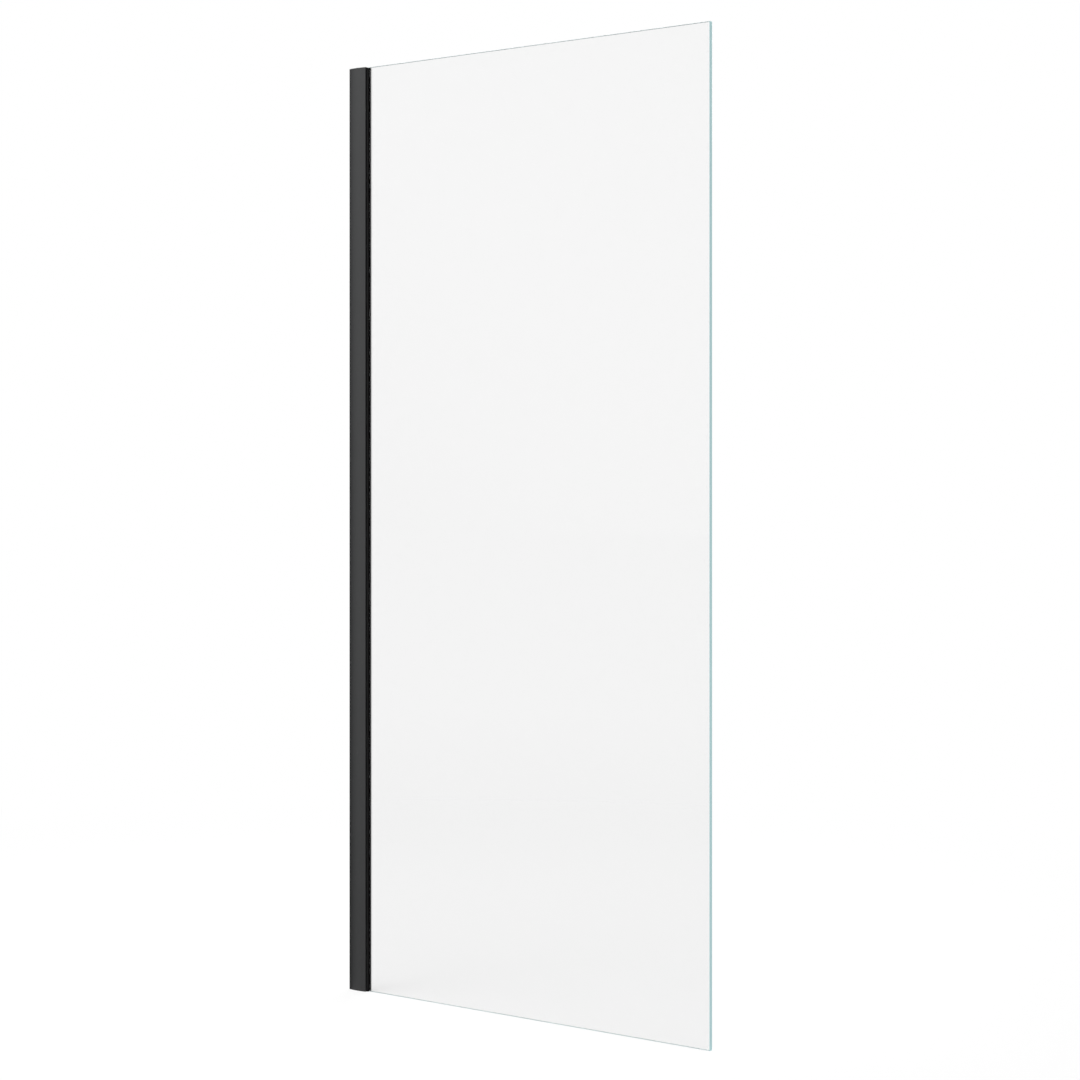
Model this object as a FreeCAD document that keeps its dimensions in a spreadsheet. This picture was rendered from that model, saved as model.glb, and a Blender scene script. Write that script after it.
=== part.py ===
import FreeCAD, Part
import math
import os
import Sketcher

# Fixed side panel of a shower: a toughened glass pane in a two-part aluminium wall profile.
# +X runs from the wall to the free edge of the glass, +Y points into the shower, +Z is up.
# The origin lies on the wall plane, in the middle plane of the glass, at the level of the tray.
# The outer profile is screwed to the wall. The glass sits in an inner profile that slides in it,
# so that the width can be set on site, and clamp screws on the shower side then hold it.

CLAMP_COUNT = 4
FIXING_COUNT = 4
SHOE_COUNT = 4

SIZES = {
    # Whole panel, with the inner profile pushed home
    "panel_height": 1900,
    "panel_width": 900,
    "width_travel": 15,
    # Glass pane
    "glass_thickness": 8,
    "glass_arris": 0.8,
    "glass_corner": 2,
    # Inner profile that carries the glass
    "gasket_gap": 2.2,
    "leg_wall": 1.5,
    "cross_web": 2,
    "pocket_depth": 15,
    "hook_length": 1.2,
    "hook_height": 0.6,
    # Gaskets on both faces of the glass
    "gasket_stem": 6,
    "gasket_taper": 2.5,
    "gasket_tail": 1,
    "gasket_bead": 3.4,
    "gasket_cover": 1,
    "gasket_round": 2.4,
    "gasket_lip": 0.4,
    # Shoes that pad the glass edge in the pocket
    "shoe_base": 2,
    "shoe_flange": 6,
    "shoe_height": 50,
    "shoe_margin": 150,
    "shoe_clearance": 0.2,
    # Outer profile on the wall
    "slide_clearance": 0.3,
    "back_gap": 1,
    "wall_web": 2,
    "guide_wall": 1.5,
    "lip_wall": 2.9,
    "crown_rise": 2.5,
    "skin_wall": 1.6,
    "chamber_margin": 7,
    "edge_radius": 0.4,
    "root_radius": 0.4,
    "lead_in": 0.4,
    "fixing_width": 6,
    "fixing_length": 12,
    "fixing_margin": 200,
    # Clamp screws and their nuts
    "clamp_margin": 120,
    "screw_diameter": 4,
    "screw_clearance": 0.3,
    "screw_tip": 1,
    "head_diameter": 8,
    "head_height": 2.4,
    "head_chamfer": 0.7,
    "recess_span": 4.4,
    "recess_width": 1,
    "recess_depth": 1.5,
    "slot_edge": 2.5,
    "nut_width": 9,
    "nut_height": 20,
    "nut_thickness": 3,
    "nut_clearance": 0.7,
    "nut_corner": 1,
    "thread_clearance": 0.05,
    # Push-in caps over the clamp screws
    "head_clearance": 0.3,
    "plug_wall": 0.6,
    "barb_height": 0.5,
    "barb_reach": 0.2,
    "cap_fit": 0.1,
    "cap_overlap": 1.5,
    "cap_height": 1.4,
    "cap_chamfer": 0.6,
    # Cap on the top end of the wall profile
    "end_plate": 1.5,
    "end_chamfer": 0.4,
    "peg_length": 12,
    "peg_width": 16,
    "peg_height": 1.3,
    "peg_fit": 0.2,
}

doc = FreeCAD.newDocument("ShowerSidePanel")
sheet = doc.addObject("Spreadsheet::Sheet", "Sizes")
for row, (name, number) in enumerate(SIZES.items(), start=1):
    sheet.set(f"A{row}", name)
    sheet.set(f"B{row}", str(number))
    sheet.setAlias(f"B{row}", name)
doc.recompute()


class Length:
    """A length in millimetres, kept together with the sheet formula that gives it."""

    def __init__(self, formula, value):
        self.formula = formula
        self.value = value

    def __add__(self, other):
        other = as_length(other)
        return Length(f"({self.formula} + {other.formula})", self.value + other.value)

    def __sub__(self, other):
        other = as_length(other)
        return Length(f"({self.formula} - {other.formula})", self.value - other.value)

    def __mul__(self, other):
        other = as_length(other)
        return Length(f"{self.formula} * {other.formula}", self.value * other.value)

    def __truediv__(self, other):
        other = as_length(other)
        return Length(f"{self.formula} / ({other.formula})", self.value / other.value)

    def __neg__(self):
        return self * -1

    def root(self):
        return Length(f"sqrt({self.formula})", math.sqrt(self.value))


def as_length(item):
    return item if isinstance(item, Length) else Length(str(item), float(item))


def size(name):
    return Length(f"Sizes.{name}", float(sheet.get(name)))


NOUGHT = as_length(0)

# Half widths across the panel, from the middle of the glass outwards
GLASS_FACE = size("glass_thickness") / 2
LEG_INSIDE = GLASS_FACE + size("gasket_gap")
LEG_OUTSIDE = LEG_INSIDE + size("leg_wall")
CHANNEL_SIDE = LEG_OUTSIDE + size("slide_clearance")
GUIDE_SIDE = CHANNEL_SIDE + size("guide_wall")
LIP_SIDE = CHANNEL_SIDE + size("lip_wall")

# Stations along X, from the wall outwards
LEG_BACK = size("wall_web") + size("back_gap")
CLAMP_HOLE = size("screw_diameter") + size("screw_clearance") * 2
SLOT_FROM = LEG_BACK + size("slot_edge") + CLAMP_HOLE / 2
CLAMP_X = SLOT_FROM + size("width_travel")
WEB_BACK = CLAMP_X + size("nut_width") / 2 + size("nut_clearance")
POCKET_FLOOR = WEB_BACK + size("cross_web")
MOUTH = POCKET_FLOOR + size("pocket_depth")
GLASS_BACK = POCKET_FLOOR + size("shoe_base")

# Bowed outer skin of the wall profile, a flat arc from the wall to the mouth
BOW_MIDDLE = MOUTH / 2
BOW_RADIUS = (BOW_MIDDLE * BOW_MIDDLE + size("crown_rise") * size("crown_rise")) / (size("crown_rise") * 2)
BOW_CENTRE = LIP_SIDE + size("crown_rise") - BOW_RADIUS

# Hollow plug of a screw cap: it goes round the screw head and into the access hole in the skin
PLUG_INSIDE = size("head_diameter") / 2 + size("head_clearance")
PLUG_OUTSIDE = PLUG_INSIDE + size("plug_wall")
ACCESS_RADIUS = PLUG_OUTSIDE + size("cap_fit")

# Heights
PROFILE_TOP = size("panel_height") - size("end_plate")
SLIDER_TOP = PROFILE_TOP - size("slide_clearance")


def bow_height(x, radius):
    """Distance from the middle plane to an arc about the centre of the bowed skin, at station x."""
    offset = x - BOW_MIDDLE
    return BOW_CENTRE + (radius * radius - offset * offset).root()


def station(index, count, margin):
    """Height of one of several fittings that are spread evenly between equal end margins."""
    span = size("panel_height") - margin * 2
    return margin + span * index / (count - 1)


def bind(item, path, length):
    item.setExpression(path, length.formula)


def new_body(label, x=NOUGHT, z=NOUGHT):
    body = doc.addObject("PartDesign::Body", label)
    body.Label = label
    bind(body, "Placement.Base.x", x)
    bind(body, "Placement.Base.z", z)
    return body


def origin_of(body, role):
    return next(item for item in body.Origin.OriginFeatures if item.Role == role)


def new_sketch(body, name, role="XY_Plane", offset=None):
    sketch = body.newObject("Sketcher::SketchObject", f"{body.Label}_{name}")
    sketch.AttachmentSupport = [(origin_of(body, role), "")]
    sketch.MapMode = "FlatFace"
    if offset is not None:
        bind(sketch, "AttachmentOffset.Base.z", offset)
    return sketch


def hold(sketch, kind, *target, length):
    """Add a dimension to the sketch and bind it to its formula."""
    index = sketch.addConstraint(Sketcher.Constraint(kind, *target, length.value))
    bind(sketch, f"Constraints[{index}]", length)


def hold_point(sketch, geometry, end, x, y):
    hold(sketch, "DistanceX", -1, 1, geometry, end, length=x)
    hold(sketch, "DistanceY", -1, 1, geometry, end, length=y)


def draw_outline(sketch, corners):
    """Closed outline through (x, y) corners. A third item is the radius of the arc to the next
    corner: it bows to the left of the way there, or to the right where the radius is negative."""
    runs = []
    for corner, following in zip(corners, corners[1:] + corners[:1]):
        start = FreeCAD.Vector(corner[0].value, corner[1].value)
        finish = FreeCAD.Vector(following[0].value, following[1].value)
        if len(corner) == 2:
            runs.append((sketch.addGeometry(Part.LineSegment(start, finish)), 1, 2))
            continue
        radius = corner[2]
        chord = finish - start
        bow = FreeCAD.Vector(-chord.y, chord.x).normalize() * math.copysign(1, radius.value)
        reach = math.sqrt(radius.value ** 2 - (chord.Length / 2) ** 2)
        summit = (start + finish) / 2 + bow * (abs(radius.value) - reach)
        if radius.value > 0:
            index, begin, end = sketch.addGeometry(Part.Arc(finish, summit, start)), 2, 1
            hold(sketch, "Radius", index, length=radius)
        else:
            index, begin, end = sketch.addGeometry(Part.Arc(start, summit, finish)), 1, 2
            hold(sketch, "Radius", index, length=-radius)
        runs.append((index, begin, end))
    for (index, begin, end), (after, after_begin, after_end) in zip(runs, runs[1:] + runs[:1]):
        sketch.addConstraint(Sketcher.Constraint("Coincident", index, end, after, after_begin))
    for (index, begin, end), corner in zip(runs, corners):
        hold_point(sketch, index, begin, corner[0], corner[1])


def draw_circle(sketch, x, y, radius):
    circle = Part.Circle(FreeCAD.Vector(x.value, y.value), FreeCAD.Vector(0, 0, 1), radius.value)
    index = sketch.addGeometry(circle)
    hold(sketch, "Radius", index, length=radius)
    hold_point(sketch, index, 3, x, y)


def draw_slot(sketch, first, second, radius):
    """Slot with round ends about two (x, y) centres."""
    begin = FreeCAD.Vector(first[0].value, first[1].value)
    end = FreeCAD.Vector(second[0].value, second[1].value)
    along = (end - begin).normalize() * radius.value
    across = FreeCAD.Vector(-along.y, along.x)
    near_arc = sketch.addGeometry(Part.Arc(begin + across, begin - along, begin - across))
    right_side = sketch.addGeometry(Part.LineSegment(begin - across, end - across))
    far_arc = sketch.addGeometry(Part.Arc(end - across, end + along, end + across))
    left_side = sketch.addGeometry(Part.LineSegment(end + across, begin + across))
    ring = [near_arc, right_side, far_arc, left_side]
    for run, following in zip(ring, ring[1:] + ring[:1]):
        sketch.addConstraint(Sketcher.Constraint("Tangent", run, 2, following, 1))
    sketch.addConstraint(Sketcher.Constraint("Equal", near_arc, far_arc))
    hold(sketch, "Radius", near_arc, length=radius)
    hold_point(sketch, near_arc, 3, *first)
    hold_point(sketch, far_arc, 3, *second)


def pad(body, sketch, length, downwards=False):
    feature = body.newObject("PartDesign::Pad", f"{sketch.Name}_pad")
    feature.Profile = sketch
    feature.Reversed = downwards
    bind(feature, "Length", length)
    doc.recompute()
    return feature


def cut(body, sketch, length=None, backwards=False, both_ways=False):
    """Cut a sketch through all that lies ahead of it, or to a given depth."""
    volume = body.Shape.Volume
    feature = body.newObject("PartDesign::Pocket", f"{sketch.Name}_cut")
    feature.Profile = sketch
    feature.Reversed = backwards
    feature.Midplane = both_ways
    if length is None:
        feature.Type = "ThroughAll"
    else:
        bind(feature, "Length", length)
    doc.recompute()
    if feature.Shape.Volume >= volume:
        raise RuntimeError(f"{feature.Name} cuts nothing")
    return feature


def spin(body, sketch):
    feature = body.newObject("PartDesign::Revolution", f"{sketch.Name}_spin")
    feature.Profile = sketch
    feature.ReferenceAxis = (sketch, ["V_Axis"])
    doc.recompute()
    return feature


def mirror(body, features):
    """Mirror features in the middle plane of the glass."""
    feature = body.newObject("PartDesign::Mirrored", f"{body.Label}_mirror")
    feature.Originals = features
    feature.MirrorPlane = (origin_of(body, "XZ_Plane"), [""])
    body.Tip = feature
    doc.recompute()
    return feature


def repeat_upwards(body, features, count, length):
    feature = body.newObject("PartDesign::LinearPattern", f"{features[0].Name}_row")
    feature.Originals = features
    feature.Direction = (origin_of(body, "Z_Axis"), [""])
    feature.Occurrences = count
    bind(feature, "Length", length)
    body.Tip = feature
    doc.recompute()


def ease_edges(body, kind, name, length, chosen):
    """Round or chamfer the edges of the body that a test picks by their middle point and bounds."""
    base = body.Tip
    names = [
        f"Edge{number}"
        for number, edge in enumerate(base.Shape.Edges, start=1)
        if chosen(edge.BoundBox.Center, edge.BoundBox)
    ]
    feature = body.newObject(f"PartDesign::{kind}", f"{body.Label}_{name}")
    feature.Base = (base, names)
    bind(feature, "Radius" if kind == "Fillet" else "Size", length)
    doc.recompute()


def near(first, second):
    return abs(first - second) < Part.Precision.confusion() * 10


def make_wall_profile():
    """Outer aluminium extrusion: a channel with bowed hollow sides, screwed to the wall."""
    body = new_body("wall_profile")
    section = new_sketch(body, "section")
    draw_outline(section, [
        (NOUGHT, NOUGHT),
        (NOUGHT, LIP_SIDE, BOW_RADIUS),
        (MOUTH, LIP_SIDE),
        (MOUTH, CHANNEL_SIDE),
        (size("wall_web"), CHANNEL_SIDE),
        (size("wall_web"), NOUGHT),
    ])
    chamber_back = size("chamber_margin")
    chamber_front = MOUTH - size("chamber_margin")
    chamber_radius = BOW_RADIUS - size("skin_wall")
    draw_outline(section, [
        (chamber_back, GUIDE_SIDE),
        (chamber_back, bow_height(chamber_back, chamber_radius), chamber_radius),
        (chamber_front, bow_height(chamber_front, chamber_radius)),
        (chamber_front, GUIDE_SIDE),
    ])
    mirror(body, [pad(body, section, PROFILE_TOP)])

    def outer_corner(middle, bounds):
        along_z = near(bounds.ZLength, PROFILE_TOP.value)
        at_side = near(abs(middle.y), LIP_SIDE.value)
        return along_z and at_side and (near(middle.x, 0) or near(middle.x, MOUTH.value))

    def channel_root(middle, bounds):
        return near(middle.x, size("wall_web").value) and near(abs(middle.y), CHANNEL_SIDE.value)

    def channel_mouth(middle, bounds):
        along_z = near(bounds.ZLength, PROFILE_TOP.value)
        return along_z and near(middle.x, MOUTH.value) and near(abs(middle.y), CHANNEL_SIDE.value)

    ease_edges(body, "Fillet", "corners", size("edge_radius"), outer_corner)
    ease_edges(body, "Fillet", "roots", size("root_radius"), channel_root)
    ease_edges(body, "Chamfer", "mouth", size("lead_in"), channel_mouth)

    fixing = new_sketch(body, "fixing", "YZ_Plane")
    half_run = (size("fixing_length") - size("fixing_width")) / 2
    draw_slot(
        fixing,
        (NOUGHT, size("fixing_margin") - half_run),
        (NOUGHT, size("fixing_margin") + half_run),
        size("fixing_width") / 2,
    )
    fixing_cut = cut(body, fixing, size("wall_web"), backwards=True)
    repeat_upwards(body, [fixing_cut], FIXING_COUNT, size("panel_height") - size("fixing_margin") * 2)

    clamp_hole = new_sketch(body, "clamp_hole", "XZ_Plane")
    draw_circle(clamp_hole, CLAMP_X, size("clamp_margin"), CLAMP_HOLE / 2)
    clamp_cut = cut(body, clamp_hole, GUIDE_SIDE)
    access_hole = new_sketch(body, "access_hole", "XZ_Plane", -GUIDE_SIDE)
    draw_circle(access_hole, CLAMP_X, size("clamp_margin"), ACCESS_RADIUS)
    access_cut = cut(body, access_hole)
    clamp_span = size("panel_height") - size("clamp_margin") * 2
    repeat_upwards(body, [clamp_cut, access_cut], CLAMP_COUNT, clamp_span)
    return body


def make_glass_profile():
    """Inner aluminium extrusion: an H with slotted back legs and a hooked pocket for the glass."""
    body = new_body("glass_profile")
    section = new_sketch(body, "section")
    hook_tip = LEG_INSIDE - size("hook_height")
    hook_back = MOUTH - size("hook_length")
    draw_outline(section, [
        (WEB_BACK, NOUGHT),
        (WEB_BACK, LEG_INSIDE),
        (LEG_BACK, LEG_INSIDE),
        (LEG_BACK, LEG_OUTSIDE),
        (MOUTH, LEG_OUTSIDE),
        (MOUTH, hook_tip),
        (hook_back, hook_tip),
        (hook_back, LEG_INSIDE),
        (POCKET_FLOOR, LEG_INSIDE),
        (POCKET_FLOOR, NOUGHT),
    ])
    mirror(body, [pad(body, section, SLIDER_TOP)])

    def web_root(middle, bounds):
        at_web = near(middle.x, WEB_BACK.value) or near(middle.x, POCKET_FLOOR.value)
        return at_web and near(abs(middle.y), LEG_INSIDE.value)

    def leg_tip(middle, bounds):
        along_z = near(bounds.ZLength, SLIDER_TOP.value)
        return along_z and near(middle.x, LEG_BACK.value) and near(abs(middle.y), LEG_OUTSIDE.value)

    ease_edges(body, "Fillet", "roots", size("root_radius"), web_root)
    ease_edges(body, "Chamfer", "tips", size("lead_in"), leg_tip)
    slot = new_sketch(body, "slot", "XZ_Plane")
    height = size("clamp_margin")
    draw_slot(slot, (SLOT_FROM, height), (CLAMP_X, height), CLAMP_HOLE / 2)
    clamp_span = size("panel_height") - size("clamp_margin") * 2
    repeat_upwards(body, [cut(body, slot)], CLAMP_COUNT, clamp_span)
    return body


def make_glass_pane():
    """Toughened pane with ground corners and an arris along every edge."""
    body = new_body("glass_pane")
    face = new_sketch(body, "face", "XZ_Plane")
    draw_outline(face, [
        (GLASS_BACK, NOUGHT),
        (size("panel_width"), NOUGHT),
        (size("panel_width"), size("panel_height")),
        (GLASS_BACK, size("panel_height")),
    ])
    pane = pad(body, face, size("glass_thickness"))
    pane.Midplane = True
    doc.recompute()

    def corner(middle, bounds):
        return near(bounds.YLength, size("glass_thickness").value)

    def outline(middle, bounds):
        return near(bounds.YLength, 0)

    ease_edges(body, "Fillet", "corners", size("glass_corner"), corner)
    ease_edges(body, "Chamfer", "arris", size("glass_arris"), outline)
    return body


def make_gasket(label, side):
    """Rubber wedge between the glass and one leg, hooked in the leg, with a bead over the gap."""
    body = new_body(label)
    section = new_sketch(body, "section")
    tail = MOUTH - size("gasket_stem")
    hook_tip = LEG_INSIDE - size("hook_height")
    hook_back = MOUTH - size("hook_length")
    bead_face = MOUTH + size("gasket_bead")
    bead_side = LEG_INSIDE + size("gasket_cover")
    rounding = size("gasket_round")
    lip = size("gasket_lip")
    corners = [
        (tail, GLASS_FACE),
        (tail, GLASS_FACE + size("gasket_tail")),
        (tail + size("gasket_taper"), LEG_INSIDE),
        (hook_back, LEG_INSIDE),
        (hook_back, hook_tip),
        (MOUTH, hook_tip),
        (MOUTH, bead_side),
        (bead_face - rounding, bead_side, rounding * side),
        (bead_face, bead_side - rounding),
        (bead_face, GLASS_FACE + lip, lip * side),
        (bead_face - lip, GLASS_FACE),
    ]
    draw_outline(section, [(x, y * side, *arc) for x, y, *arc in corners])
    pad(body, section, SLIDER_TOP)
    return body


def make_edge_shoe(label, middle):
    """Plastic U that keeps the glass edge off the metal and centres the pane in the pocket."""
    height = size("shoe_height")
    body = new_body(label, z=middle - height / 2)
    section = new_sketch(body, "section")
    flange_end = GLASS_BACK + size("shoe_flange")
    flange_side = LEG_INSIDE - size("shoe_clearance")
    draw_outline(section, [
        (POCKET_FLOOR, NOUGHT),
        (POCKET_FLOOR, flange_side),
        (flange_end, flange_side),
        (flange_end, GLASS_FACE),
        (GLASS_BACK, GLASS_FACE),
        (GLASS_BACK, NOUGHT),
    ])
    mirror(body, [pad(body, section, height)])

    def base_edge(middle, bounds):
        return near(middle.x, POCKET_FLOOR.value) and near(abs(middle.y), flange_side.value)

    ease_edges(body, "Chamfer", "base", size("root_radius"), base_edge)
    return body


def make_clamp_screw(label, height):
    """Cross-recessed screw from the shower side, through the guide wall and slot into its nut."""
    body = new_body(label, x=CLAMP_X, z=height)
    section = new_sketch(body, "section")
    shank = size("screw_diameter") / 2
    head = size("head_diameter") / 2
    tip = LEG_INSIDE - size("slide_clearance") - size("nut_thickness") - size("screw_tip")
    head_top = GUIDE_SIDE + size("head_height")
    draw_outline(section, [
        (NOUGHT, tip),
        (shank, tip),
        (shank, GUIDE_SIDE),
        (head, GUIDE_SIDE),
        (head, head_top - size("head_chamfer")),
        (head - size("head_chamfer"), head_top),
        (NOUGHT, head_top),
    ])
    spin(body, section)
    recess = new_sketch(body, "recess", "XZ_Plane", -head_top)
    arm = size("recess_span") / 2
    flank = size("recess_width") / 2
    quarter = [(arm, -flank), (arm, flank), (flank, flank)]
    corners = []
    for turn in range(4):
        corners += quarter
        quarter = [(-y, x) for x, y in quarter]
    draw_outline(recess, corners)
    cut(body, recess, size("recess_depth"), backwards=True)
    return body


def make_clamp_nut(label, height):
    """Steel plate nut behind the slotted leg."""
    body = new_body(label, x=CLAMP_X, z=height)
    outer_face = LEG_INSIDE - size("slide_clearance")
    section = new_sketch(body, "plate", "XZ_Plane", -outer_face)
    half_width = size("nut_width") / 2
    half_height = size("nut_height") / 2
    draw_outline(section, [
        (-half_width, -half_height),
        (half_width, -half_height),
        (half_width, half_height),
        (-half_width, half_height),
    ])
    draw_circle(section, NOUGHT, NOUGHT, size("screw_diameter") / 2 + size("thread_clearance"))
    pad(body, section, size("nut_thickness"))

    def corner(middle, bounds):
        return near(abs(middle.x), half_width.value) and near(abs(middle.z), half_height.value)

    ease_edges(body, "Chamfer", "corners", size("nut_corner"), corner)
    return body


def make_screw_cap(label, height):
    """Push-in cap: a disc bedded on the bowed skin, with a barbed hollow plug round the screw head."""
    body = new_body(label, x=CLAMP_X, z=height)
    crown = bow_height(CLAMP_X, BOW_RADIUS)
    rim = ACCESS_RADIUS + size("cap_overlap")
    skin_inside = crown - size("skin_wall")
    disc_top = crown + size("cap_height")
    flange = new_sketch(body, "flange")
    draw_outline(flange, [
        (NOUGHT, skin_inside),
        (rim, skin_inside),
        (rim, disc_top - size("cap_chamfer")),
        (rim - size("cap_chamfer"), disc_top),
        (NOUGHT, disc_top),
    ])
    spin(body, flange)
    seat = new_sketch(body, "seat")
    left = -rim * 2
    right = rim * 2
    draw_outline(seat, [
        (left, NOUGHT),
        (left, bow_height(CLAMP_X + left, BOW_RADIUS), BOW_RADIUS),
        (right, bow_height(CLAMP_X + right, BOW_RADIUS)),
        (right, NOUGHT),
    ])
    cut(body, seat, rim * 4, both_ways=True)
    plug = new_sketch(body, "plug")
    off_middle = CLAMP_X - BOW_MIDDLE
    barb_side = (off_middle * off_middle).root() + ACCESS_RADIUS + size("barb_reach")
    lowest_skin = bow_height(BOW_MIDDLE + barb_side, BOW_RADIUS - size("skin_wall"))
    barb_top = lowest_skin - size("cap_fit")
    barb_end = barb_top - size("barb_height")
    draw_outline(plug, [
        (PLUG_INSIDE, barb_end),
        (PLUG_OUTSIDE, barb_end),
        (ACCESS_RADIUS + size("barb_reach"), barb_top),
        (PLUG_OUTSIDE, barb_top),
        (PLUG_OUTSIDE, crown + size("cap_fit")),
        (PLUG_INSIDE, crown + size("cap_fit")),
    ])
    spin(body, plug)
    return body


def make_top_end_cap():
    """Plastic cap on the wall profile, notched for the glass, with pegs in the side chambers."""
    body = new_body("top_end_cap", z=PROFILE_TOP)
    plate = new_sketch(body, "plate")
    notch_back = GLASS_BACK - size("slide_clearance")
    notch_side = GLASS_FACE + size("slide_clearance")
    draw_outline(plate, [
        (NOUGHT, NOUGHT),
        (NOUGHT, LIP_SIDE, BOW_RADIUS),
        (MOUTH, LIP_SIDE),
        (MOUTH, notch_side),
        (notch_back, notch_side),
        (notch_back, NOUGHT),
    ])
    plate_pad = pad(body, plate, size("end_plate"))
    peg = new_sketch(body, "peg")
    peg_back = BOW_MIDDLE - size("peg_width") / 2
    peg_front = BOW_MIDDLE + size("peg_width") / 2
    peg_inside = GUIDE_SIDE + size("peg_fit")
    peg_outside = peg_inside + size("peg_height")
    draw_outline(peg, [
        (peg_back, peg_inside),
        (peg_back, peg_outside),
        (peg_front, peg_outside),
        (peg_front, peg_inside),
    ])
    mirror(body, [plate_pad, pad(body, peg, size("peg_length"), downwards=True)])

    def outer_corner(middle, bounds):
        at_side = near(abs(middle.y), LIP_SIDE.value)
        at_end = near(middle.x, 0) or near(middle.x, MOUTH.value)
        return at_side and at_end and near(bounds.ZLength, size("end_plate").value)

    def top_outline(middle, bounds):
        on_top = near(bounds.ZMin, size("end_plate").value) and near(bounds.ZLength, 0)
        return on_top and (abs(middle.y) > CHANNEL_SIDE.value or near(middle.x, 0))

    ease_edges(body, "Fillet", "corners", size("edge_radius"), outer_corner)
    ease_edges(body, "Chamfer", "top_edge", size("end_chamfer"), top_outline)
    return body


pieces = [
    make_wall_profile(),
    make_glass_profile(),
    make_glass_pane(),
    make_gasket("front_gasket", -1),
    make_gasket("rear_gasket", 1),
    make_top_end_cap(),
]
for number in range(SHOE_COUNT):
    shoe_height = station(number, SHOE_COUNT, size("shoe_margin"))
    pieces.append(make_edge_shoe(f"edge_shoe_{number + 1}", shoe_height))
for number in range(CLAMP_COUNT):
    clamp_height = station(number, CLAMP_COUNT, size("clamp_margin"))
    pieces.append(make_clamp_screw(f"clamp_screw_{number + 1}", clamp_height))
    pieces.append(make_clamp_nut(f"clamp_nut_{number + 1}", clamp_height))
    pieces.append(make_screw_cap(f"screw_cap_{number + 1}", clamp_height))

doc.recompute()
for item in doc.Objects:
    if "Invalid" in item.State or "Error" in item.State:
        raise RuntimeError(f"{item.Label} failed to rebuild")
for piece in pieces:
    if piece.Shape.isNull() or not piece.Shape.isValid() or len(piece.Shape.Solids) != 1:
        raise RuntimeError(f"{piece.Label} is not one sound solid")

os.makedirs("parts", exist_ok=True)
for piece in pieces:
    piece.Shape.exportStep(f"parts/{piece.Label}.step")
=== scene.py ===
import math

import bpy
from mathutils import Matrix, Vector


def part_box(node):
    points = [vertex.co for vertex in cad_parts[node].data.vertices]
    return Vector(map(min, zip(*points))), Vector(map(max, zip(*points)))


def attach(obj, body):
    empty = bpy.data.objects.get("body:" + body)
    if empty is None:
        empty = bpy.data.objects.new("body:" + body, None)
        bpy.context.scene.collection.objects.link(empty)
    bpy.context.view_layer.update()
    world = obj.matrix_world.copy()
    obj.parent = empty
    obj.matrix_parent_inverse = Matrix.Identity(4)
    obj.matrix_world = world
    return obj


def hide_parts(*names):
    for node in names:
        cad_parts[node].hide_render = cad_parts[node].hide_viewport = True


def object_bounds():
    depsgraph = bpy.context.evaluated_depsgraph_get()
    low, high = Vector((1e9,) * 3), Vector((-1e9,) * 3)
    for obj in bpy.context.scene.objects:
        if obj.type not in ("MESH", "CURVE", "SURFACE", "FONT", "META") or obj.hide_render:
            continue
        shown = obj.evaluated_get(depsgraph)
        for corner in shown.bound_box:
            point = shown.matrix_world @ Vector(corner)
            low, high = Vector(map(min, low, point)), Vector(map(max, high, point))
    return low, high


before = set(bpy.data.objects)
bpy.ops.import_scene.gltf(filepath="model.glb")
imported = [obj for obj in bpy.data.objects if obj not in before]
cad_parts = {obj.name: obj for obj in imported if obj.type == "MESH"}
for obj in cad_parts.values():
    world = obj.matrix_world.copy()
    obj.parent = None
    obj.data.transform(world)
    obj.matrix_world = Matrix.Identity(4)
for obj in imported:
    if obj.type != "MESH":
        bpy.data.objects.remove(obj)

cad_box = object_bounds()

# Wall profile: the outer half of the telescopic frame, screwed to the wall through its back web.
# It is a hollow aluminium extrusion, sawn to length, slotted for the wall screws and drilled for the
# clamp screws, and then powder coated matte black.
MM = 0.001
wall_low, wall_high = [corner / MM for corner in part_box("wall_profile")]
panel_height = cad_box[1].z / MM
mouth = wall_high.x
crown = wall_high.y
lip_side = 10.9
guide_side = 9.5
channel_side = 8.0
wall_web = 2.0
skin_wall = 1.6
chamber_margin = 7.0
lip_radius = 0.4
root_radius = 0.4
lead_in = 0.4
fixing_margin = 200
fixing_width = 6.0
fixing_length = 12.0
clamp_margin = 120
clamp_x = 22.8
clamp_hole = 4.6
clamp_drill = 3.5
access_hole = 10.0
access_drill = 4.8
row_count = 4
# Steps round a full circle, and the fewest round an arc. Places within near of each other count as the
# same, and corners within merge_gap are merged.
round_steps = 48
arc_steps = 6
near = 0.01
merge_gap = 0.001

bow_middle = mouth / 2
bow_rise = crown - lip_side
bow_radius = (bow_middle ** 2 + bow_rise ** 2) / (2 * bow_rise)
bow_centre = crown - bow_radius


def row_heights(margin):
    """Heights of a row of like things, evenly spaced between equal margins at foot and head."""
    spacing = (panel_height - 2 * margin) / (row_count - 1)
    return [margin + spacing * number for number in range(row_count)]


def bow_side(x, depth=0.0):
    """Distance from the middle plane to the bowed skin at a station, or to a depth below it."""
    return bow_centre + math.sqrt((bow_radius - depth) ** 2 - (x - bow_middle) ** 2)


def pick(*pieces):
    """Select some pieces and nothing else, and make the first of them the active one."""
    bpy.ops.object.select_all(action="DESELECT")
    for piece in pieces:
        piece.select_set(True)
    bpy.context.view_layer.objects.active = pieces[0]


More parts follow.
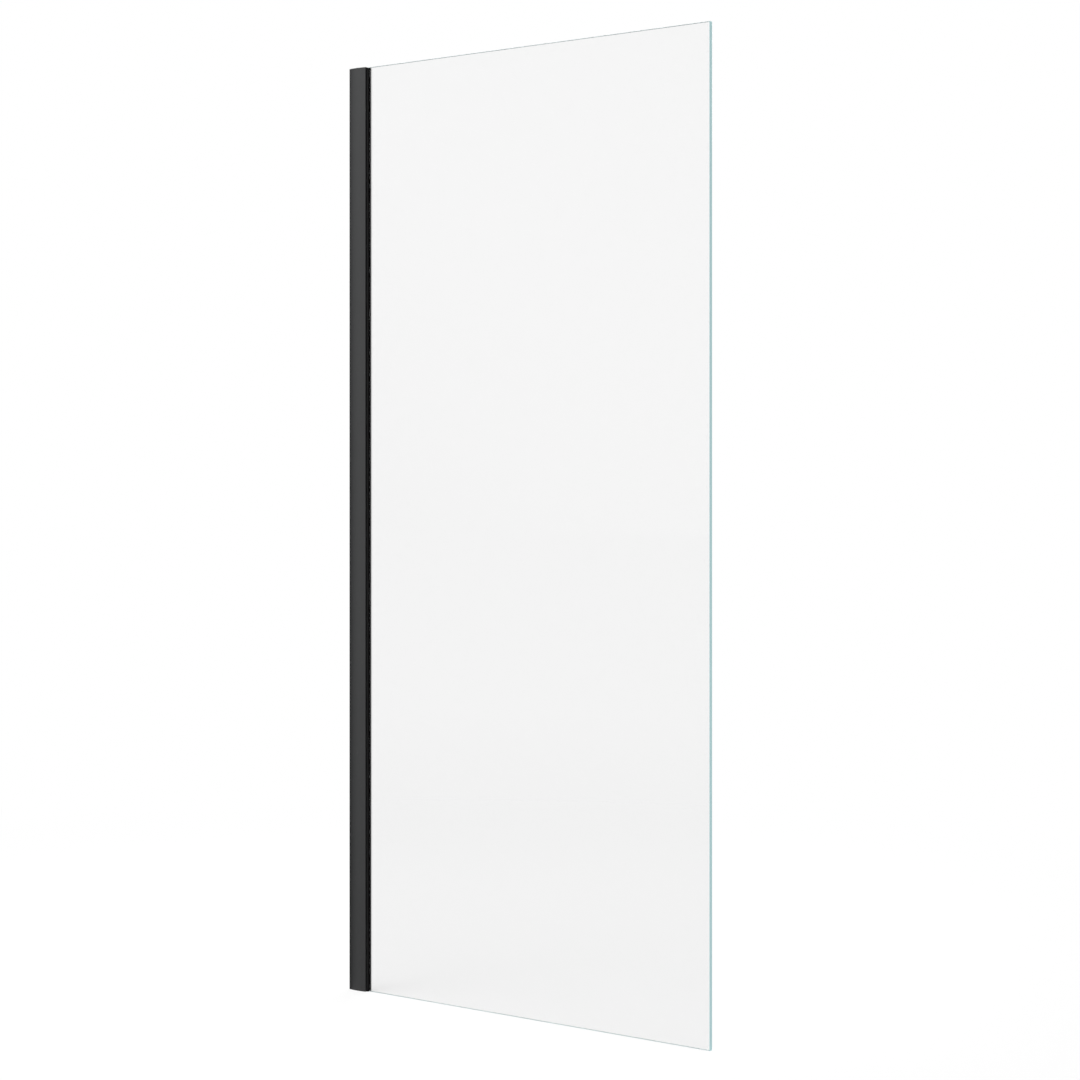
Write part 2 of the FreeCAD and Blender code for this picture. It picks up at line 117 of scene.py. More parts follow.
def select_parts(piece, kind, test):
    """Open a piece in edit mode with those of its vertices or edges selected whose corners pass a test.
    The test gets the corners in millimetres."""
    if bpy.context.mode == "EDIT_MESH":
        bpy.ops.object.mode_set(mode="OBJECT")
    pick(piece)
    bpy.ops.object.mode_set(mode="EDIT")
    bpy.ops.mesh.select_mode(type=kind)
    bpy.ops.mesh.select_all(action="DESELECT")
    bpy.ops.object.mode_set(mode="OBJECT")
    mesh = piece.data
    for part in mesh.vertices if kind == "VERT" else mesh.edges:
        corners = [part.index] if kind == "VERT" else part.vertices
        part.select = test([mesh.vertices[corner].co / MM for corner in corners])
    bpy.ops.object.mode_set(mode="EDIT")


def on_corners(places):
    """A test for upright edges that stand on given corners of an outline."""
    def stands_on(corners, x, y):
        return all(math.hypot(corner.x - x, corner.y - y) < near for corner in corners)
    return lambda corners: any(stands_on(corners, x, y) for x, y in places)


def at_level(level):
    """A test for edges that lie at one height."""
    return lambda corners: all(abs(corner.z - level) < near for corner in corners)


def sweep_outline(name, outline, low, high):
    """Stand a strip on the first run of an outline and carry its front edge round the other runs.
    A corner that also names a centre starts an arc about it."""
    (x0, y0), (x1, y1) = outline[0][:2], outline[1][:2]
    bpy.ops.object.select_all(action="DESELECT")
    bpy.ops.mesh.primitive_plane_add(
        size=MM,
        location=Vector((x0 + x1, y0 + y1, low + high)) * MM / 2,
        rotation=(math.pi / 2, 0, math.atan2(y1 - y0, x1 - x0)),
    )
    strip = bpy.context.object
    strip.name = name
    strip.scale = (math.hypot(x1 - x0, y1 - y0), high - low, 1)
    bpy.ops.object.transform_apply(location=True, rotation=True, scale=True)
    select_parts(strip, "EDGE", on_corners([(x1, y1)]))
    for start, end in zip(outline[1:], outline[2:] + outline[:1]):
        if len(start) == 2:
            run = Vector((end[0] - start[0], end[1] - start[1], 0)) * MM
            bpy.ops.mesh.extrude_region_move(TRANSFORM_OT_translate={"value": run})
            continue
        x, y, centre_x, centre_y = start
        turn = math.atan2(end[1] - centre_y, end[0] - centre_x) - math.atan2(y - centre_y, x - centre_x)
        turn = (turn + math.pi) % (2 * math.pi) - math.pi
        steps = max(arc_steps, round(abs(turn) * math.hypot(x - centre_x, y - centre_y)))
        # The spin operator counts its angle clockwise, so the turn changes its sign.
        bpy.ops.mesh.spin(
            steps=steps, angle=-turn, center=Vector((centre_x, centre_y, 0)) * MM, axis=(0, 0, 1)
        )
    bpy.ops.mesh.select_all(action="SELECT")
    bpy.ops.mesh.remove_doubles(threshold=merge_gap * MM)
    bpy.ops.object.mode_set(mode="OBJECT")
    return strip


def bevel_edges(piece, test, size, steps, profile=0.5):
    """Bevel those edges of a piece whose corners pass a test."""
    select_parts(piece, "EDGE", test)
    bpy.ops.mesh.bevel(offset=size * MM, segments=steps, profile=profile, affect="EDGES")
    bpy.ops.object.mode_set(mode="OBJECT")


def close_ends(piece, low, high, one_face=False):
    """Close both ends of a swept section, each with one face or else with a fill that leaves the hollows
    open, and turn all faces outwards."""
    for level in (low, high):
        select_parts(piece, "EDGE", at_level(level))
        if one_face:
            bpy.ops.mesh.edge_face_add()
        else:
            bpy.ops.mesh.fill(use_beauty=True)
    bpy.ops.mesh.select_all(action="SELECT")
    bpy.ops.mesh.normals_make_consistent(inside=False)
    bpy.ops.object.mode_set(mode="OBJECT")


def combine(piece, tool, operation):
    """Cut a tool away from a piece, or add it, put the tool away, and close any sliver left open."""
    pick(piece)
    change = piece.modifiers.new("change", "BOOLEAN")
    change.operation = operation
    change.solver = "EXACT"
    change.object = tool
    bpy.ops.object.modifier_apply(modifier=change.name)
    bpy.data.objects.remove(tool)
    select_parts(piece, "EDGE", lambda corners: True)
    bpy.ops.mesh.fill_holes(sides=0)
    bpy.ops.object.mode_set(mode="OBJECT")


def drill(piece, place, axis, width, depth, stretch=(0, 0, 0)):
    """Cut a round hole, or a slot where half of the drill is drawn out by a stretch."""
    bpy.ops.object.select_all(action="DESELECT")
    bpy.ops.mesh.primitive_cylinder_add(
        vertices=round_steps,
        radius=width / 2 * MM,
        depth=depth * MM,
        location=Vector(place) * MM,
        rotation=(0, math.pi / 2, 0) if axis == "X" else (math.pi / 2, 0, 0),
    )
    bpy.ops.object.transform_apply(location=True, rotation=True, scale=True)
    tool = bpy.context.object
    way = Vector(stretch)
    if way.length:
        select_parts(tool, "VERT", lambda corners: (corners[0] - Vector(place)).dot(way) > near)
        bpy.ops.transform.translate(value=way * MM)
        bpy.ops.object.mode_set(mode="OBJECT")
    combine(piece, tool, "DIFFERENCE")


def smooth(piece, crease=30):
    """Shade a piece smooth, but crisp where it turns by more than a crease in degrees, and level on its
    large faces."""
    pick(piece)
    bpy.ops.object.shade_smooth_by_angle(angle=math.radians(crease))
    level = piece.modifiers.new("level", "WEIGHTED_NORMAL")
    level.keep_sharp = True
    bpy.ops.object.modifier_apply(modifier=level.name)


both_sides = (1, -1)
wall_strips = [sweep_outline("wall_extrusion", [
    (0, -lip_side),
    (0, lip_side, bow_middle, bow_centre),
    (mouth, lip_side),
    (mouth, channel_side),
    (wall_web, channel_side),
    (wall_web, -channel_side),
    (mouth, -channel_side),
    (mouth, -lip_side, bow_middle, -bow_centre),
], wall_low.z, wall_high.z)]
chamber_front = mouth - chamber_margin
chamber_corner = bow_side(chamber_margin, skin_wall)
for side in both_sides:
    wall_strips.append(sweep_outline("chamber", [
        (chamber_margin, guide_side * side),
        (chamber_margin, chamber_corner * side, bow_middle, bow_centre * side),
        (chamber_front, chamber_corner * side),
        (chamber_front, guide_side * side),
    ], wall_low.z, wall_high.z))
pick(*wall_strips)
bpy.ops.object.join()
wall_profile = bpy.context.object
outer_corners = [(x, lip_side * side) for x in (0, mouth) for side in both_sides]
channel_roots = [(wall_web, channel_side * side) for side in both_sides]
channel_mouths = [(mouth, channel_side * side) for side in both_sides]
bevel_edges(wall_profile, on_corners(outer_corners), lip_radius, steps=4)
bevel_edges(wall_profile, on_corners(channel_roots), root_radius, steps=3)
bevel_edges(wall_profile, on_corners(channel_mouths), lead_in, steps=1)
close_ends(wall_profile, wall_low.z, wall_high.z)
fixing_run = fixing_length - fixing_width
for height in row_heights(fixing_margin):
    slot_foot = (wall_web / 2, 0, height - fixing_run / 2)
    drill(wall_profile, slot_foot, "X", fixing_width, wall_web * 2, stretch=(0, 0, fixing_run))
clamp_heights = row_heights(clamp_margin)
for height in clamp_heights:
    drill(wall_profile, (clamp_x, guide_side, height), "Y", clamp_hole, clamp_drill)
    drill(wall_profile, (clamp_x, crown, height), "Y", access_hole, access_drill)
smooth(wall_profile)


def linear(hex_colour):
    """Turn an sRGB hex colour into the linear values that a shader takes."""
    shares = [int(hex_colour[at:at + 2], 16) / 255 for at in (1, 3, 5)]
    return [s / 12.92 if s <= 0.04045 else ((s + 0.055) / 1.055) ** 2.4 for s in shares] + [1]


def add_node(tree, kind, settings, links=None):
    """Add a node, give it its properties and input values, and link its inputs to other outputs."""
    node = tree.nodes.new(kind)
    for name, value in settings.items():
        if isinstance(name, str) and hasattr(node, name):
            setattr(node, name, value)
        else:
            node.inputs[name].default_value = value
    for name, output in (links or {}).items():
        tree.links.new(output, node.inputs[name])
    return node


def new_finish(name):
    """Start a material, and give it with its node tree, its shader and the Object coordinates in it."""
    finish = bpy.data.materials.new(name)
    finish.use_nodes = True
    tree = finish.node_tree
    place = add_node(tree, "ShaderNodeTexCoord", {})
    return finish, tree, tree.nodes["Principled BSDF"], place.outputs["Object"]


# Polyester powder coat, sprayed dry and baked: a matte black skin with the fine pebble that the
# powder leaves as it flows, so that light lies on it as a soft grey sheen and never as a mirror.
# The real pebble, about 0.1 mm, would not show, so it is drawn coarser.
powder_pebble = 0.5
powder_cloud = 40.0
powder_coat, tree, shader, place = new_finish("powder_coated_aluminium_matte_black")
pebble = add_node(
    tree, "ShaderNodeTexNoise", {"Scale": 1 / (powder_pebble * MM), "Detail": 2.0}, {"Vector": place}
)
cloud = add_node(
    tree, "ShaderNodeTexNoise", {"Scale": 1 / (powder_cloud * MM), "Detail": 3.0}, {"Vector": place}
)
tone = add_node(
    tree, "ShaderNodeMixRGB", {"Color1": linear("#171819"), "Color2": linear("#1d1e1f")},
    {"Fac": cloud.outputs["Fac"]},
)
gloss = add_node(
    tree, "ShaderNodeMapRange", {"From Min": 0.3, "From Max": 0.7, "To Min": 0.3, "To Max": 0.42},
    {"Value": pebble.outputs["Fac"]},
)
relief = add_node(
    tree, "ShaderNodeBump", {"Strength": 0.6, "Distance": 0.1 * MM}, {"Height": pebble.outputs["Fac"]}
)
tree.links.new(tone.outputs["Color"], shader.inputs["Base Color"])
tree.links.new(gloss.outputs["Result"], shader.inputs["Roughness"])
tree.links.new(relief.outputs["Normal"], shader.inputs["Normal"])

wall_profile.data.materials.append(powder_coat)
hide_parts("wall_profile")
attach(wall_profile, "wall_unit")

# Glass profile: the inner half of the frame, which slides in the channel of the wall profile so that
# the width can be set on site. It is an aluminium extrusion of H section, with slots in its back legs
# for the clamp screws and a hooked pocket for the glass, and it is coated as the wall profile is.
slider_low, slider_high = [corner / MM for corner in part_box("glass_profile")]
leg_back = slider_low.x
leg_outside = slider_high.y
leg_inside = 6.2
leg_middle = (leg_inside + leg_outside) / 2
leg_wall = leg_outside - leg_inside
web_back = 28.0
pocket_floor = 30.0
hook_tip = 5.6
hook_depth = 1.2
hook_back = mouth - hook_depth
mouth_ease = 0.2
slot_from = 7.8

slider_edge = [
    (leg_back, leg_inside),
    (leg_back, leg_outside),
    (mouth, leg_outside),
    (mouth, hook_tip),
    (hook_back, hook_tip),
    (hook_back, leg_inside),
    (pocket_floor, leg_inside),
]
slider_mirrored = [(x, -y) for x, y in reversed(slider_edge)]
web_line = [(web_back, -leg_inside), (web_back, leg_inside)]
glass_profile = sweep_outline(
    "glass_extrusion", slider_edge + slider_mirrored + web_line, slider_low.z, slider_high.z
)
web_roots = [(x, leg_inside * side) for x in (web_back, pocket_floor) for side in both_sides]
leg_tips = [(leg_back, leg_outside * side) for side in both_sides]
leg_mouths = [(mouth, y * side) for y in (leg_outside, hook_tip) for side in both_sides]
bevel_edges(glass_profile, on_corners(web_roots), root_radius, steps=3)
bevel_edges(glass_profile, on_corners(leg_tips), lead_in, steps=1)
bevel_edges(glass_profile, on_corners(leg_mouths), mouth_ease, steps=2)
close_ends(glass_profile, slider_low.z, slider_high.z)
slot_run = (clamp_x - slot_from, 0, 0)
for height in clamp_heights:
    for side in both_sides:
        slot_foot = (slot_from, leg_middle * side, height)
        drill(glass_profile, slot_foot, "Y", clamp_hole, leg_wall * 2, stretch=slot_run)
smooth(glass_profile)
glass_profile.data.materials.append(powder_coat)
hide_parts("glass_profile")
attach(glass_profile, "glass_unit")

# Edge shoes: four short U sections in the pocket that keep the edge of the glass off the metal.
# They are cut from an extrusion of soft black PVC and pushed on to the edge before the pane goes in.
shoe_low, shoe_high = [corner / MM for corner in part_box("edge_shoe_1")]
shoe_margin = 150
shoe_ease = 0.5
glass_back = 32.0
glass_face = 4.0
air_film = 0.03
glass_side = glass_face + air_film
shoe_floor = glass_back - air_film

shoe_edge = [
    (shoe_high.x, glass_side),
    (shoe_high.x, shoe_high.y),
    (shoe_low.x, shoe_high.y),
]
shoe_mirrored = [(x, -y) for x, y in reversed(shoe_edge)]
floor_line = [(shoe_floor, -glass_side), (shoe_floor, glass_side)]
edge_shoe = sweep_outline("edge_shoe_a", shoe_edge + shoe_mirrored + floor_line, shoe_low.z, shoe_high.z)
shoe_backs = [(shoe_low.x, shoe_high.y * side) for side in both_sides]
shoe_mouths = [(shoe_high.x, y * side) for y in (glass_side, shoe_high.y) for side in both_sides]
bevel_edges(edge_shoe, on_corners(shoe_backs), root_radius, steps=2)
bevel_edges(edge_shoe, on_corners(shoe_mouths), shoe_ease, steps=3)
close_ends(edge_shoe, shoe_low.z, shoe_high.z)
smooth(edge_shoe)

# Soft PVC, extruded: a dull black with the fine satin that the die leaves.
vinyl_satin = 0.3
soft_vinyl, tree, shader, place = new_finish("extruded_soft_vinyl_black")
satin = add_node(
    tree, "ShaderNodeTexNoise", {"Scale": 1 / (vinyl_satin * MM), "Detail": 2.0}, {"Vector": place}
)
tone = add_node(
    tree, "ShaderNodeMixRGB", {"Color1": linear("#161616"), "Color2": linear("#1d1d1e")},
    {"Fac": satin.outputs["Fac"]},
)
gloss = add_node(
    tree, "ShaderNodeMapRange", {"To Min": 0.45, "To Max": 0.65}, {"Value": satin.outputs["Fac"]}
)
tree.links.new(tone.outputs["Color"], shader.inputs["Base Color"])
tree.links.new(gloss.outputs["Result"], shader.inputs["Roughness"])
edge_shoe.data.materials.append(soft_vinyl)


def copy_up(piece, stem, heights):
    """Copy a finished piece, made at the first of some heights, straight up to the others. Each copy has
    a mesh of its own and the same stem to its name."""
    pieces = [piece]
    for letter, height in zip("bcd", heights[1:]):
        pick(piece)
        bpy.ops.object.duplicate(linked=False)
        twin = bpy.context.object
        twin.name = f"{stem}_{letter}"
        twin.location.z = (height - heights[0]) * MM
        bpy.ops.object.transform_apply(location=True, rotation=False, scale=False)
        pieces.append(twin)
    return pieces


for number, shoe in enumerate(copy_up(edge_shoe, "edge_shoe", row_heights(shoe_margin)), start=1):
    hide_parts(f"edge_shoe_{number}")
    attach(shoe, "glass_unit")

# Glass pane: one sheet of clear float glass, cut to size, its edges arrissed and ground, the free one
# also polished, and its corners dubbed before it is toughened. It stands in the pocket of the glass
# profile and is bare on its other three edges.
pane_low, pane_high = [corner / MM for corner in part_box("glass_pane")]
corner_dub = 0.9
arris = 0.8
glass_ior = 1.52
broad_face = 0.99


def new_box(name, low, high):
    """Add a cube and stretch it between two corners."""
    bpy.ops.object.select_all(action="DESELECT")
    bpy.ops.mesh.primitive_cube_add(size=MM, location=(Vector(low) + Vector(high)) * MM / 2)
    piece = bpy.context.object
    piece.name = name
    piece.scale = Vector(high) - Vector(low)
    bpy.ops.object.transform_apply(location=True, rotation=True, scale=True)
    return piece


def through_plate(corners):
    """A test for edges that run through the thickness of a plate, along Y."""
    return abs(corners[0].y - corners[1].y) > near


def along_plate(corners):
    """A test for edges that run along the broad faces of a plate."""
    return not through_plate(corners)


pane = new_box("clear_pane", pane_low, pane_high)
bevel_edges(pane, through_plate, corner_dub, steps=6)
bevel_edges(pane, along_plate, arris, steps=2, profile=0.4)
smooth(pane, crease=20)

# Clear float glass, toughened: almost no colour through the face, and a mirror sheen that the rollers
# of the furnace leave with the faintest long wave.
roller_wave = 300.0
clear_glass, tree, shader, place = new_finish("clear_toughened_float_glass")
shader.inputs["Base Color"].default_value = linear("#f1f1f1")
shader.inputs["Roughness"].default_value = 0.0
shader.inputs["IOR"].default_value = glass_ior
shader.inputs["Transmission Weight"].default_value = 1.0
wave = add_node(
    tree, "ShaderNodeTexNoise", {"Scale": 1 / (roller_wave * MM), "Detail": 0.0}, {"Vector": place}
)
relief = add_node(
    tree, "ShaderNodeBump", {"Strength": 0.2, "Distance": 0.2 * MM}, {"Height": wave.outputs["Fac"]}
)
tree.links.new(relief.outputs["Normal"], shader.inputs["Normal"])

# Glass edge, ground and polished: the length of glass behind it gives it a pale sea green, and a painted
# glow, an emission that stands in for the light that runs in the sheet, makes it shine though it is no
# lamp. The scratches of the wheel are too fine to show, so they are drawn as small clouds.
wheel_mark = 3.0
glass_edge, tree, shader, place = new_finish("polished_glass_edge_sea_green")
shader.inputs["IOR"].default_value = glass_ior
shader.inputs["Transmission Weight"].default_value = 0.15
# Painted glow: the edge gives off a faint sea green light of its own, in place of light led through the
# pane.
shader.inputs["Emission Color"].default_value = linear("#a0bfc1")
shader.inputs["Emission Strength"].default_value = 0.6
marks = add_node(
    tree, "ShaderNodeTexNoise", {"Scale": 1 / (wheel_mark * MM), "Detail": 3.0}, {"Vector": place}
)
tone = add_node(
    tree, "ShaderNodeMixRGB", {"Color1": linear("#7e9b9e"), "Color2": linear("#8eabad")},
    {"Fac": marks.outputs["Fac"]},
)
gloss = add_node(
    tree, "ShaderNodeMapRange", {"To Min": 0.12, "To Max": 0.3}, {"Value": marks.outputs["Fac"]}
)
tree.links.new(tone.outputs["Color"], shader.inputs["Base Color"])
tree.links.new(gloss.outputs["Result"], shader.inputs["Roughness"])

# Glass edge, ground only, as along the top and the bottom: a dull grey. Its scratches are drawn as
# small clouds too.
grinding_mark = 2.0
ground_edge, tree, shader, place = new_finish("ground_glass_edge_grey")
shader.inputs["IOR"].default_value = glass_ior
shader.inputs["Transmission Weight"].default_value = 0.2
marks = add_node(
    tree, "ShaderNodeTexNoise", {"Scale": 1 / (grinding_mark * MM), "Detail": 3.0}, {"Vector": place}
)
tone = add_node(
    tree, "ShaderNodeMixRGB", {"Color1": linear("#9eabac"), "Color2": linear("#b2bfc0")},
    {"Fac": marks.outputs["Fac"]},
)
gloss = add_node(
    tree, "ShaderNodeMapRange", {"To Min": 0.35, "To Max": 0.5}, {"Value": marks.outputs["Fac"]}
)
tree.links.new(tone.outputs["Color"], shader.inputs["Base Color"])
tree.links.new(gloss.outputs["Result"], shader.inputs["Roughness"])

pane_finishes = [clear_glass, glass_edge, ground_edge]
for finish in pane_finishes:
    pane.data.materials.append(finish)
for face in pane.data.polygons:
    if abs(face.normal.y) < broad_face:
        at_free_edge = face.normal.x > abs(face.normal.z)
        face.material_index = pane_finishes.index(glass_edge if at_free_edge else ground_edge)
# Clear glass lets nearly all of the light through, so the pane throws no shadow.
pane.visible_shadow = False
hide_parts("glass_pane")
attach(pane, "glass_unit")

# Gaskets: a rubber wedge down each face of the glass, hooked in the legs of the glass profile, with a
# round bead that closes the gap to the glass. They are extruded in one length each and pressed in last.
gasket_low, gasket_high = [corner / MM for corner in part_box("rear_gasket")]
gasket_tail = 1.0
gasket_taper = 2.5
bead_round = 2.4
lip_round = 0.4
bead_face = gasket_high.x
bead_side = gasket_high.y

wedge = [
    (gasket_low.x, glass_side),
    (gasket_low.x, glass_face + gasket_tail),
    (gasket_low.x + gasket_taper, leg_inside - air_film),
    (hook_back - air_film, leg_inside - air_film),
    (hook_back - air_film, hook_tip - air_film),
    (mouth + air_film, hook_tip - air_film),
    (mouth + air_film, bead_side),
    (bead_face - bead_round, bead_side, bead_face - bead_round, bead_side - bead_round),
    (bead_face, bead_side - bead_round),
    (bead_face, glass_side + lip_round, bead_face - lip_round, glass_side + lip_round),
    (bead_face - lip_round, glass_side),
]
gaskets = []
for name, side in (("rear_gasket_bead", 1), ("front_gasket_bead", -1)):
    outline = [
        tuple(value * (side if at % 2 else 1) for at, value in enumerate(corner)) for corner in wedge
    ]
    gasket = sweep_outline(name, outline, gasket_low.z, gasket_high.z)
    close_ends(gasket, gasket_low.z, gasket_high.z)
    smooth(gasket)
    gaskets.append(gasket)

# EPDM rubber, extruded and cured: a deep dull black, with faint lines along it from the die. The real
# lines are too fine to show, so they are drawn further apart.
die_line = 0.4
die_stretch = 2000
epdm, tree, shader, place = new_finish("extruded_epdm_rubber_black")
shader.inputs["Specular IOR Level"].default_value = 0.2
lengthwise = add_node(tree, "ShaderNodeMapping", {"Scale": (1, 1, 1 / die_stretch)}, {"Vector": place})
lines = add_node(
    tree, "ShaderNodeTexNoise", {"Scale": 1 / (die_line * MM), "Detail": 2.0},
    {"Vector": lengthwise.outputs["Vector"]},
)
tone = add_node(
    tree, "ShaderNodeMixRGB", {"Color1": linear("#0d0d0e"), "Color2": linear("#151516")},
    {"Fac": lines.outputs["Fac"]},
)
gloss = add_node(
    tree, "ShaderNodeMapRange", {"To Min": 0.5, "To Max": 0.7}, {"Value": lines.outputs["Fac"]}
)
tree.links.new(tone.outputs["Color"], shader.inputs["Base Color"])
tree.links.new(gloss.outputs["Result"], shader.inputs["Roughness"])
for gasket, node in zip(gaskets, ("rear_gasket", "front_gasket")):
    gasket.data.materials.append(epdm)
    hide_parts(node)
    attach(gasket, "glass_unit")

# Top end cap: a lid on the open top end of the wall profile, notched so that the glass can slide, with
# two pegs in the hollow sides. It is injection moulded in black nylon and pushed in by hand.
cap_low, cap_high = [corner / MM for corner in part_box("top_end_cap")]
notch_back = 31.7
notch_side = 4.3
peg_half = 8.0
peg_inside = 9.7
peg_outside = 11.0
peg_overlap = 0.5
peg_ease = 0.3
lid_round = 0.4

end_cap = sweep_outline("end_cap_lid", [
    (0, -lip_side),
    (0, lip_side, bow_middle, bow_centre),
    (mouth, lip_side),
    (mouth, notch_side),
    (notch_back, notch_side),
    (notch_back, -notch_side),
    (mouth, -notch_side),
    (mouth, -lip_side, bow_middle, -bow_centre),
], wall_high.z, cap_high.z)
bevel_edges(end_cap, on_corners(outer_corners), lip_radius, steps=4)
close_ends(end_cap, wall_high.z, cap_high.z, one_face=True)
bevel_edges(end_cap, at_level(cap_high.z), lid_round, steps=3)
for side in both_sides:
    peg_sides = sorted((peg_inside * side, peg_outside * side))
    peg = new_box(
        "peg",
        (bow_middle - peg_half, peg_sides[0], cap_low.z),
        (bow_middle + peg_half, peg_sides[1], wall_high.z + peg_overlap),
    )
    bevel_edges(peg, at_level(cap_low.z), peg_ease, steps=2)
    combine(end_cap, peg, "UNION")
smooth(end_cap)

# Nylon, injection moulded: a matte black with the fine spark texture of its mould. The real pits, about
# 0.05 mm, would not show, so they are drawn coarser.
spark = 0.35
nylon, tree, shader, place = new_finish("moulded_nylon_spark_textured_black")
pits = add_node(tree, "ShaderNodeTexVoronoi", {"Scale": 1 / (spark * MM)}, {"Vector": place})
tone = add_node(
    tree, "ShaderNodeMixRGB", {"Color1": linear("#242526"), "Color2": linear("#2d2e2f")},
    {"Fac": pits.outputs["Distance"]},
)
gloss = add_node(
    tree, "ShaderNodeMapRange", {"To Min": 0.44, "To Max": 0.58}, {"Value": pits.outputs["Distance"]}
)
relief = add_node(
    tree, "ShaderNodeBump", {"Strength": 0.5, "Distance": 0.05 * MM},
    {"Height": pits.outputs["Distance"]},
)
tree.links.new(tone.outputs["Color"], shader.inputs["Base Color"])
tree.links.new(gloss.outputs["Result"], shader.inputs["Roughness"])
tree.links.new(relief.outputs["Normal"], shader.inputs["Normal"])
end_cap.data.materials.append(nylon)
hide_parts("top_end_cap")
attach(end_cap, "wall_unit")

# Clamp nuts: four steel plates behind the slotted leg, each with a tapped hole for its clamp screw.
# They are punched from strip, tumbled until their edges are round, and zinc plated.
nut_low, nut_high = [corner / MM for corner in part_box("clamp_nut_1")]
nut_middle = (nut_low.y + nut_high.y) / 2
nut_depth = nut_high.y - nut_low.y
nut_corner = 1.0
nut_ease = 0.25
tapped_hole = 4.1
first_clamp = clamp_heights[0]

clamp_nut = new_box("plate_nut_a", nut_low, nut_high)
bevel_edges(clamp_nut, through_plate, nut_corner, steps=4)
bevel_edges(clamp_nut, along_plate, nut_ease, steps=2)
drill(clamp_nut, (clamp_x, nut_middle, first_clamp), "Y", tapped_hole, nut_depth * 2)
smooth(clamp_nut)

# Zinc plate over steel, clear passivated: a cool grey metal with a cloudy, slightly blue bloom.
zinc_bloom = 2.0
zinc, tree, shader, place = new_finish("zinc_plated_steel_passivated")
shader.inputs["Metallic"].default_value = 1.0
bloom = add_node(
    tree, "ShaderNodeTexNoise", {"Scale": 1 / (zinc_bloom * MM), "Detail": 4.0}, {"Vector": place}
)
tone = add_node(
    tree, "ShaderNodeMixRGB", {"Color1": linear("#a4a9ad"), "Color2": linear("#bcc4cc")},
    {"Fac": bloom.outputs["Fac"]},
)
gloss = add_node(
    tree, "ShaderNodeMapRange", {"To Min": 0.28, "To Max": 0.5}, {"Value": bloom.outputs["Fac"]}
)
tree.links.new(tone.outputs["Color"], shader.inputs["Base Color"])
tree.links.new(gloss.outputs["Result"], shader.inputs["Roughness"])
clamp_nut.data.materials.append(zinc)

for number, nut in enumerate(copy_up(clamp_nut, "plate_nut", clamp_heights), start=1):
    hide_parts(f"clamp_nut_{number}")
    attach(nut, "wall_unit")

# Clamp screws: four cross-recessed machine screws, put in from the shower side through the guide wall
# and the slot into the nuts. Once tightened they hold the set width. They are of stainless steel, the
# head cold formed and the thread rolled.
screw_low, screw_high = [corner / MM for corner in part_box("clamp_screw_1")]
head_radius = (screw_high.x - screw_low.x) / 2
head_round = 0.7
# How far the round of the head has fallen back halfway through its turn.
head_arc = head_round * 0.3
tip_chamfer = 0.3
thread_radius = 2.0
thread_pitch = 0.7
thread_form = 0.36
thread_start = 0.6
thread_steps = 24
core_radius = 1.6
recess_span = 4.4
recess_width = 1.0
recess_depth = 1.5
recess_taper = 0.7
recess_proud = 1.0


def turn_outline(name, outline, x, z):
    """Draw half a turned section, as distances from a Y axis and heights on it, and spin it round."""
    bpy.ops.object.select_all(action="DESELECT")
    reach, height = outline[0]
    bpy.ops.mesh.primitive_plane_add(size=MM, location=Vector((x + reach, height, z)) * MM)
    turned = bpy.context.object
    turned.name = name
    bpy.ops.object.transform_apply(location=True, rotation=True, scale=True)
    bpy.ops.object.mode_set(mode="EDIT")
    bpy.ops.mesh.select_mode(type="VERT")
    bpy.ops.mesh.select_all(action="SELECT")
    bpy.ops.mesh.merge(type="CENTER")
    for start, end in zip(outline, outline[1:]):
        run = Vector((end[0] - start[0], end[1] - start[1], 0)) * MM
        bpy.ops.mesh.extrude_region_move(TRANSFORM_OT_translate={"value": run})
    bpy.ops.mesh.select_all(action="SELECT")
    bpy.ops.mesh.spin(
        steps=round_steps, angle=2 * math.pi, center=Vector((x, 0, z)) * MM, axis=(0, 1, 0)
    )
    bpy.ops.mesh.select_all(action="SELECT")
    bpy.ops.mesh.remove_doubles(threshold=merge_gap * MM)
    bpy.ops.mesh.normals_make_consistent(inside=False)
    bpy.ops.object.mode_set(mode="OBJECT")
    return turned


clamp_screw = turn_outline("machine_screw_a", [
    (0, screw_low.y),
    (core_radius - tip_chamfer, screw_low.y),
    (core_radius, screw_low.y + tip_chamfer),
    (core_radius, guide_side),
    (head_radius, guide_side),
    (head_radius, screw_high.y - head_round),
    (head_radius - head_arc, screw_high.y - head_arc),
    (head_radius - head_round, screw_high.y),
    (0, screw_high.y),
], clamp_x, first_clamp)

# The recess is cut by two crossed arms that taper towards its floor.
screw_axis = Vector((clamp_x, 0, first_clamp)) * MM
for span, width in ((recess_span, recess_width), (recess_width, recess_span)):
    arm = new_box(
        "recess_arm",
        (clamp_x - span / 2, screw_high.y - recess_depth, first_clamp - width / 2),
        (clamp_x + span / 2, screw_high.y + recess_proud, first_clamp + width / 2),
    )
    select_parts(arm, "VERT", lambda corners: corners[0].y < screw_high.y)
    bpy.ops.transform.resize(value=(recess_taper, 1, recess_taper), center_override=screw_axis)
    bpy.ops.object.mode_set(mode="OBJECT")
    combine(clamp_screw, arm, "DIFFERENCE")

